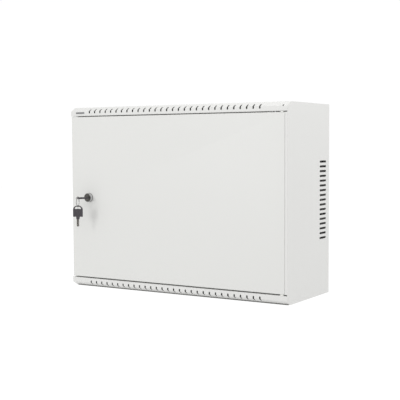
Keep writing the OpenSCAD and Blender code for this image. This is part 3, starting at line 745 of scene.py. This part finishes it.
points = np.stack([
    middle[0] + path[:, None, 0] + outward[:, None, 0] * section[None, :, 0],
    middle[1] + path[:, None, 1] + outward[:, None, 1] * section[None, :, 0],
    sheetTop + np.repeat(section[None, :, 1], len(path), axis=0)], axis=-1)
settle(meshPiece("entryEdging", points.reshape(-1, 3),
                 gridFaces(len(path), len(section), True, True)), "top_entry_trim")
print("stage: rubber")


lockShape = {
    "bore": 7.05, "boreDepth": 0.9, "boreFlare": 0.5, "head": 10.5, "headOut": 8.0,
    "flange": 11.1, "flangeThick": 0.8, "foot": 1.4, "edge": 0.7, "edgeSteps": 6,
    "barrel": 9.5, "barrelLength": 24.0, "chamfer": 0.6, "spacing": 0.25, "headEnd": 0.5,
    "threadStart": 0.8, "threadStop": 0.8, "pitch": 1.0, "threadDepth": 0.45, "core": 8.5,
    "frontRing": 0.25, "sharpDegrees": 40, "plugEdge": 0.3,
}
lockLow, lockMiddle = boxOf("lock_body")[::2]
doorFace = lockLow[1] + lockShape["headOut"] * mm
lockAxis = np.array([lockMiddle[0], doorFace, lockMiddle[2]])
bore, barrel, front = lockShape["bore"], lockShape["barrel"], -lockShape["headOut"]
barrelEnd, steps = lockShape["barrelLength"], lockShape["edgeSteps"]
headCorners = np.array([
    [bore, front + lockShape["boreDepth"]], [bore + lockShape["boreFlare"], front],
    [lockShape["head"], front], [lockShape["head"], -lockShape["foot"]],
    [lockShape["flange"], -lockShape["flangeThick"]], [lockShape["flange"], 0.0],
    [barrel, 0.0]])
headCurve = roundedOutline(headCorners, lockShape["edge"], steps)[steps:-steps]
barrelLine = denseLine([
    [barrel, 0.0], [barrel, barrelEnd - lockShape["chamfer"]],
    [barrel - lockShape["chamfer"], barrelEnd], [bore, barrelEnd],
    [bore, front + lockShape["boreDepth"]]], lockShape["spacing"])
lockProfile = np.vstack([headCorners[:1], headCurve, barrelLine[:-1]])
lockThread = {"low": lockShape["threadStart"], "high": barrelEnd - lockShape["threadStop"],
              "pitch": lockShape["pitch"], "depth": lockShape["threadDepth"],
              "core": lockShape["core"]}
grid = turnedArrays(lockProfile, fineRound, lockThread)
isHead = lockProfile[:, 1] < lockShape["headEnd"]
grid[isHead] = turnedArrays(lockProfile[isHead], fineRound)
lockPiece = meshPiece("lockHousing", placed(grid.reshape(-1, 3) * mm, (0, 1, 0), lockAxis),
                      gridFaces(len(grid), fineRound, True, True), lockShape["sharpDegrees"])
settle(lockPiece, "lock_body")
# the front ring of the head is darker than its polished side; the foot of the head, where it meets the door, gets
# the same dark finish as painted shade
lockPiece.data.materials.append(finish["plug_face"])
faceCentres = np.empty(len(lockPiece.data.polygons) * 3)
lockPiece.data.polygons.foreach_get("center", faceCentres)
outFromDoor = (doorFace - faceCentres.reshape(-1, 3)[:, 1]) / mm
# dark front ring, and painted shade on the foot of the head against the door
isDarkRingOrPaintedShade = (outFromDoor > lockShape["headOut"] - lockShape["frontRing"]) | (
    (outFromDoor > 0) & (outFromDoor < lockShape["foot"]))
lockPiece.data.polygons.foreach_set("material_index", isDarkRingOrPaintedShade.astype(np.int32))

plugPiece = workedCopy("lock_plug", lockShape["plugEdge"])
plugPiece.data.materials.clear()
plugPiece.data.materials.append(finish["plug_face"])
print("stage: lock")


keyShape = {   # measured across the key and along it from the head's shoulders
    "halfWidth": 12.0, "straight": 19.0, "archRadius": 12.6, "archCentre": 15.2,
    "bar": 2.6, "thick": 3.2, "neckHalf": 3.8, "neckLength": 6.0, "holeHalf": 7.8,
    "discRadius": 5.6, "discCentre": 9.2, "discRise": 0.4, "fillet": 1.1, "rayCentre": 22.4,
    "bulgeRadius": 4.6, "bulgeCentre": 15.2, "bulgeAngle": 0.65, "holeFillet": 0.7,
    "neckFlare": 0.5, "archSteps": 13, "filletSteps": 6, "holeArchSteps": 15,
    "holeFilletSteps": 4, "bulgeSteps": 7, "outerSpacing": 0.45, "holeSpacing": 0.1,
    "edge": 0.7, "edgeSteps": 5, "across": 26, "rimWidth": 1.9, "rimFade": 0.4,
    "sink": 0.28, "neckFade": 1.5, "discFade": 0.5, "discRim": 1.3, "dish": 0.45,
    "bladeHalf": 3.15, "bladeThick": 2.0, "bladeTip": -24.0, "bladeRoot": -2.2,
    "bladeSteps": 160, "bladeEdge": 0.22, "bladeEdgeSteps": 4, "bladeSpacing": 0.12,
    "pointLength": 3.0, "pointIn": 2.6, "backPointLength": 2.0, "backPointIn": 2.0,
    "cutFirst": -18.5, "cutStep": 2.6, "cutDepths": (1.6, 1.1, 1.5, 0.8, 1.3),
    "cutHalf": 1.2, "flatHalf": 0.4, "groove": 0.45, "grooveHalf": 0.75, "grooveAt": 0.9,
    "grooveFade": 0.25, "grooveFrom": 0.8, "faceFrom": 0.6, "sharpDegrees": 32,
}


# Outline of the key head: neck, shoulders, straight sides and the arch.
def bowOuterOutline():
    k = keyShape
    cornerAngle = math.asin((k["straight"] - k["archCentre"]) / k["archRadius"])
    sweep = np.linspace(cornerAngle, math.pi - cornerAngle, k["archSteps"])[1:-1]
    arch = np.stack([k["archRadius"] * np.cos(sweep),
                     k["archCentre"] + k["archRadius"] * np.sin(sweep)], axis=-1)
    lower = np.array([[-k["halfWidth"], k["straight"]], [-k["halfWidth"], 0],
                      [-k["neckHalf"] - k["neckFlare"], 0],
                      [-k["neckHalf"], -k["neckLength"]], [k["neckHalf"], -k["neckLength"]],
                      [k["neckHalf"] + k["neckFlare"], 0],
                      [k["halfWidth"], 0], [k["halfWidth"], k["straight"]]])
    return roundedOutline(np.vstack([arch, lower]), k["fillet"], k["filletSteps"])


# Outline of the crescent under the arch: the arch's inner edge over a shallow bulge.
def bowHoleOutline():
    k = keyShape
    radius = k["archRadius"] - k["bar"]
    top = math.acos(k["holeHalf"] / radius)
    sweep = np.linspace(top, math.pi - top, k["holeArchSteps"])
    arch = np.stack([radius * np.cos(sweep), k["archCentre"] + radius * np.sin(sweep)], axis=-1)
    bulge = np.linspace(-k["bulgeAngle"], k["bulgeAngle"], k["bulgeSteps"])
    floorLine = np.stack([k["bulgeRadius"] * np.sin(bulge),
                          k["bulgeCentre"] + k["bulgeRadius"] * np.cos(bulge)], axis=-1)
    floorLine[:, 1] = np.maximum(floorLine[:, 1], k["straight"])
    leftEnd, rightEnd = [-k["holeHalf"], k["straight"]], [k["holeHalf"], k["straight"]]
    outline = np.vstack([arch, [leftEnd], floorLine, [rightEnd]])
    return roundedOutline(outline, k["holeFillet"], k["holeFilletSteps"])


# Each station round the head is a rounded bar from the hole's edge to the outer edge.
# The station's points are hole + share * (outer - hole), at plus or minus half the
# thickness, with quarter-round edges. The faces rise over the disc and along a rim.
def keyBowPoints():
    k = keyShape
    outer = bowOuterOutline()
    stations = denseLine(np.vstack([outer, outer[:1]]), k["outerSpacing"])[:-1]
    centre = np.array([0.0, k["rayCentre"]])
    outerAngle = np.unwrap(np.arctan2(*(stations - centre).T[::-1]))
    hole = bowHoleOutline()
    hole = denseLine(np.vstack([hole, hole[:1]]), k["holeSpacing"])[:-1]
    holeAngle = np.arctan2(*(hole - centre).T[::-1])
    order = np.argsort(holeAngle)
    holeRadius = np.linalg.norm(hole - centre, axis=1)[order]
    innerRadius = np.interp(outerAngle, holeAngle[order], holeRadius, period=2 * math.pi)
    outerRadius = np.linalg.norm(stations - centre, axis=1)
    direction = np.stack([np.cos(outerAngle), np.sin(outerAngle)], axis=-1)

    edge, half = k["edge"], k["thick"] / 2
    quarter = np.linspace(0, math.pi / 2, k["edgeSteps"])
    run = np.linspace(0, 1, k["across"])[1:-1]
    width = (outerRadius - innerRadius)[:, None]
    inEdge = np.tile(edge * (1 - np.sin(quarter[::-1])), (len(width), 1))
    face = edge + run[None, :] * (width - 2 * edge)
    outEdge = width - edge + edge * np.sin(quarter)[None, :]
    along = np.hstack([inEdge, face, outEdge])
    fall = half - edge + edge * np.cos(quarter)
    rise = np.concatenate([fall[::-1], np.full(len(run), half), fall])
    topU = centre[0] + direction[:, :1] * (innerRadius[:, None] + along)
    topV = centre[1] + direction[:, 1:] * (innerRadius[:, None] + along)
    fromDisc = np.hypot(topU, topV - k["discCentre"])
    disc = np.clip((k["discRadius"] - fromDisc) / k["discFade"], 0, 1)
    dish = np.clip((k["discRadius"] - k["discRim"] - fromDisc) / k["discFade"], 0, 1)
    toEdge = np.minimum(width - along, along)
    rim = np.clip((k["rimWidth"] - toEdge) / k["rimFade"], 0, 1)
    aboveNeck = np.clip((topV + k["neckFade"]) / k["neckFade"], 0, 1)
    sink = k["sink"] * (1 - rim) * aboveNeck
    raised = (disc - k["dish"] * dish) * k["discRise"]
    height = rise[None, :] - sink * (toEdge > edge) + raised + sink * disc
    upper = np.stack([topU, topV, height], axis=-1)
    lower = np.stack([topU, topV, -height], axis=-1)[:, ::-1]
    return np.concatenate([upper, lower], axis=1)


# A tube of stations with each end drawn together in its middle.
def closedEnds(points):
    caps = np.repeat(points[[0, -1]].mean(axis=1, keepdims=True), points.shape[1], axis=1)
    return np.concatenate([caps[:1], points, caps[1:]], axis=0)


# Stations along the blade, each a rounded rectangle whose cut edge moves in at the
# bitting. A groove is milled along both faces, and the tip is pointed.
def keyBladePoints():
    k = keyShape
    v = np.linspace(k["bladeTip"], k["bladeRoot"], k["bladeSteps"])
    fromTip = v - k["bladeTip"]
    plain = k["bladeHalf"] - k["pointIn"] * np.clip(1 - fromTip / k["pointLength"], 0, 1)
    notch = np.zeros_like(v)
    for i, depth in enumerate(k["cutDepths"]):
        away = np.abs(v - (k["cutFirst"] + i * k["cutStep"]))
        notch = np.maximum(notch, depth * np.clip(
            (k["cutHalf"] - away) / (k["cutHalf"] - k["flatHalf"]), 0, 1))
    cutSide = plain - notch
    backSide = -k["bladeHalf"] + k["backPointIn"] * np.clip(
        1 - fromTip / k["backPointLength"], 0, 1)
    loop = roundedOutline([[-1, -1], [1, -1], [1, 1], [-1, 1]], k["bladeEdge"],
                          k["bladeEdgeSteps"])
    loop = denseLine(np.vstack([loop, loop[:1]]), k["bladeSpacing"])[:-1]
    middle, half = (cutSide + backSide) / 2, (cutSide - backSide) / 2
    u = middle[:, None] + half[:, None] * loop[None, :, 0]
    thick = np.repeat(loop[None, :, 1] * k["bladeThick"] / 2, len(v), axis=0)
    inGroove = np.clip((k["grooveHalf"] - np.abs(u + k["grooveAt"])) / k["grooveFade"], 0, 1)
    run = np.clip((fromTip - k["grooveFrom"]) / k["grooveFrom"], 0, 1)[:, None]
    onFace = np.abs(thick) > k["faceFrom"]
    thick = thick - np.sign(thick) * k["groove"] * inGroove * run * onFace
    along = np.repeat(v[:, None], loop.shape[0], axis=1)
    points = np.stack([u, along, thick], axis=-1)
    return closedEnds(points)


# One key. The rotation takes the key's own axes to the cabinet's, and the origin is
# where the head's shoulders lie.
def keyPieces(tag, bladeNode, bowNode, rotation, origin):
    for label, grid, wrapRows, nodeName in (
            ("keyHead", keyBowPoints(), True, bowNode),
            ("keyBlade", keyBladePoints(), False, bladeNode)):
        rows, columns = grid.shape[:2]
        points = grid.reshape(-1, 3) * mm @ rotation.T + origin
        piece = meshPiece(label + tag, points, gridFaces(rows, columns, wrapRows, True),
                          keyShape["sharpDegrees"])
        settle(piece, nodeName)


joints = {joint["name"]: joint for joint in frame["joints"]}
ringAxis = np.array(joints["ring_swing"]["axis"])
ringBar = np.array(joints["ring_swing"]["pos_m"])
spareBar = np.array(joints["spare_key_swing"]["pos_m"])
barAlong = keyShape["archCentre"] + keyShape["archRadius"] - keyShape["bar"] / 2

lockedKey = np.array([[-1.0, 0, 0], [0, -1.0, 0], [0, 0, 1.0]])
keyPieces("InLock", "key_blade", "key_bow", lockedKey, ringBar + np.array([0, barAlong * mm, 0]))
acrossSpare = -ringAxis / np.linalg.norm(ringAxis)
upSpare = np.array([0, 0, 1.0])
spareTurn = np.stack([acrossSpare, upSpare, np.cross(acrossSpare, upSpare)], axis=-1)
keyPieces("Spare", "spare_key_blade", "spare_key_bow", spareTurn,
          spareBar - np.array([0, 0, barAlong * mm]))

# Split ring: a flat wire wound in two turns. Its middle line is a circle that crosses
# from one lane to the next after the first turn, and the wire thins at both ends.
ringShape = {"inside": 12.0, "radial": 1.2, "wide": 2.2, "gap": 0.06, "turns": 2.0,
             "steps": 260, "crossing": 0.5, "edge": 0.3, "taper": 0.06, "endShare": 0.02,
             "start": 2.2, "sharpDegrees": 50}
ringMiddle = boxOf("key_ring")[2]
turn = np.linspace(0, 2 * math.pi * ringShape["turns"], ringShape["steps"])
wireWide = ringShape["wide"] / 2 - ringShape["gap"]
shift = wireWide / 2 * np.clip((turn - 2 * math.pi) / ringShape["crossing"], -1, 1)
centreRadius = ringShape["inside"] + ringShape["radial"] / 2
wireLoop = roundedOutline([[-0.5, -0.5], [0.5, -0.5], [0.5, 0.5], [-0.5, 0.5]],
                          ringShape["edge"]) * np.array([ringShape["radial"], wireWide])
taper = np.clip(np.minimum(turn, turn[-1] - turn) / ringShape["taper"],
                ringShape["endShare"], 1)[:, None]
radius = centreRadius + wireLoop[None, :, 0] * taper
axial = shift[:, None] + wireLoop[None, :, 1] * taper
inPlane = np.cross(upSpare, acrossSpare)
fromStart = (turn + ringShape["start"])[:, None, None]
points = closedEnds(
    radius[..., None] * (np.cos(fromStart) * upSpare + np.sin(fromStart) * inPlane)
    + axial[..., None] * acrossSpare)
ring = meshPiece("splitRing", points.reshape(-1, 3) * mm + ringMiddle,
                 gridFaces(*points.shape[:2], False, True), ringShape["sharpDegrees"])
settle(ring, "key_ring")
print("stage: keys")


studio = {   # in metres and watts
    "floorSize": 8.0, "floorColor": (0.06, 0.06, 0.06), "floorGlow": 1.0, "floorLevel": -0.0002,
    "floorRoughness": 0.9, "worldStrength": 1.01,
    # painted shadow: a grey patch of floor under the cabinet that does not glow
    "paintedShadowHalf": (0.296, 0.099), "paintedShadowColor": (0.40, 0.40, 0.39),
    "frontPower": 12.7, "frontSize": 0.62, "frontPlace": (-0.75, -2.3, 0.62),
    "rightPower": 9.4, "rightSize": 1.0, "rightPlace": (1.0, -0.05, 1.55),
    "topPower": 2.5, "topSize": 2.0, "topPlace": (0.2, -0.2, 2.6),
}

# the floor glows evenly up to the cabinet's footprint; there a grey patch that does not glow is a painted shadow
# under the cabinet
corner = studio["floorSize"] / 2
halfX, halfY = studio["paintedShadowHalf"]
for label, faces, color, glow in (
        ("studioFloor", [(0, 1, 5, 4), (1, 2, 6, 5), (2, 3, 7, 6), (3, 0, 4, 7)],
         studio["floorColor"], studio["floorGlow"]),
        ("studioFloorPaintedShadow", [(4, 5, 6, 7)], studio["paintedShadowColor"], 0.0)):
    floorMesh = bpy.data.meshes.new(label)
    floorMesh.from_pydata([
        (-corner, -corner, 0), (corner, -corner, 0), (corner, corner, 0), (-corner, corner, 0),
        (-halfX, -halfY, 0), (halfX, -halfY, 0), (halfX, halfY, 0), (-halfX, halfY, 0)],
        [], faces)
    floor = bpy.data.objects.new(label, floorMesh)
    floor.location.z = studio["floorLevel"]
    bpy.context.scene.collection.objects.link(floor)
    floorPaint = bpy.data.materials.new(label + "Paint")
    floorPaint.use_nodes = True
    floorShader = floorPaint.node_tree.nodes["Principled BSDF"]
    floorShader.inputs["Base Color"].default_value = (*color, 1)
    floorShader.inputs["Roughness"].default_value = studio["floorRoughness"]
    floorShader.inputs["Specular IOR Level"].default_value = 0.0
    floorShader.inputs["Emission Color"].default_value = (1, 1, 1, 1)
    floorShader.inputs["Emission Strength"].default_value = glow
    floorMesh.materials.append(floorPaint)

world = bpy.data.worlds.new("studioWorld")
world.use_nodes = True
backdrop = world.node_tree.nodes["Background"]
backdrop.inputs["Color"].default_value = (1, 1, 1, 1)
backdrop.inputs["Strength"].default_value = studio["worldStrength"]
bpy.context.scene.world = world

cabinetMiddle = Vector((0, 0, (cadBox[0].z + cadBox[1].z) / 2))
for side in ("front", "right", "top"):
    lamp = bpy.data.lights.new(side + "SoftBox", "AREA")
    lamp.energy = studio[side + "Power"]
    lamp.size = studio[side + "Size"]
    lampObject = bpy.data.objects.new(side + "SoftBox", lamp)
    lampObject.location = studio[side + "Place"]
    aim = cabinetMiddle - lampObject.location
    lampObject.rotation_euler = aim.to_track_quat("-Z", "Y").to_euler()
    bpy.context.scene.collection.objects.link(lampObject)

# the camera stands to the right and looks back at the cabinet, turned, dipped and rolled
view = {"place": (1.1704, -1.8760, 0.3507), "turn": 31.76, "dip": 3.456, "roll": -0.25,
        "lens": 81.75, "sensor": 36.0, "nearest": 0.05, "furthest": 50.0}
turnAngle, dip, roll = (math.radians(view[key]) for key in ("turn", "dip", "roll"))
forward = Vector((-math.sin(turnAngle) * math.cos(dip), math.cos(turnAngle) * math.cos(dip),
                  -math.sin(dip)))
levelRight = Vector((math.cos(turnAngle), math.sin(turnAngle), 0))
levelUp = levelRight.cross(forward)
right = levelRight * math.cos(roll) + levelUp * math.sin(roll)
up = levelUp * math.cos(roll) - levelRight * math.sin(roll)
camera = bpy.data.cameras.new("productCamera")
camera.lens = view["lens"]
camera.sensor_width = view["sensor"]
camera.clip_start, camera.clip_end = view["nearest"], view["furthest"]
cameraObject = bpy.data.objects.new("productCamera", camera)
cameraObject.matrix_world = Matrix((
    (right.x, up.x, -forward.x, view["place"][0]),
    (right.y, up.y, -forward.y, view["place"][1]),
    (right.z, up.z, -forward.z, view["place"][2]),
    (0, 0, 0, 1)))
bpy.context.scene.collection.objects.link(cameraObject)
bpy.context.scene.camera = cameraObject
bpy.context.scene.view_settings.view_transform = "Standard"
print("stage: studio")
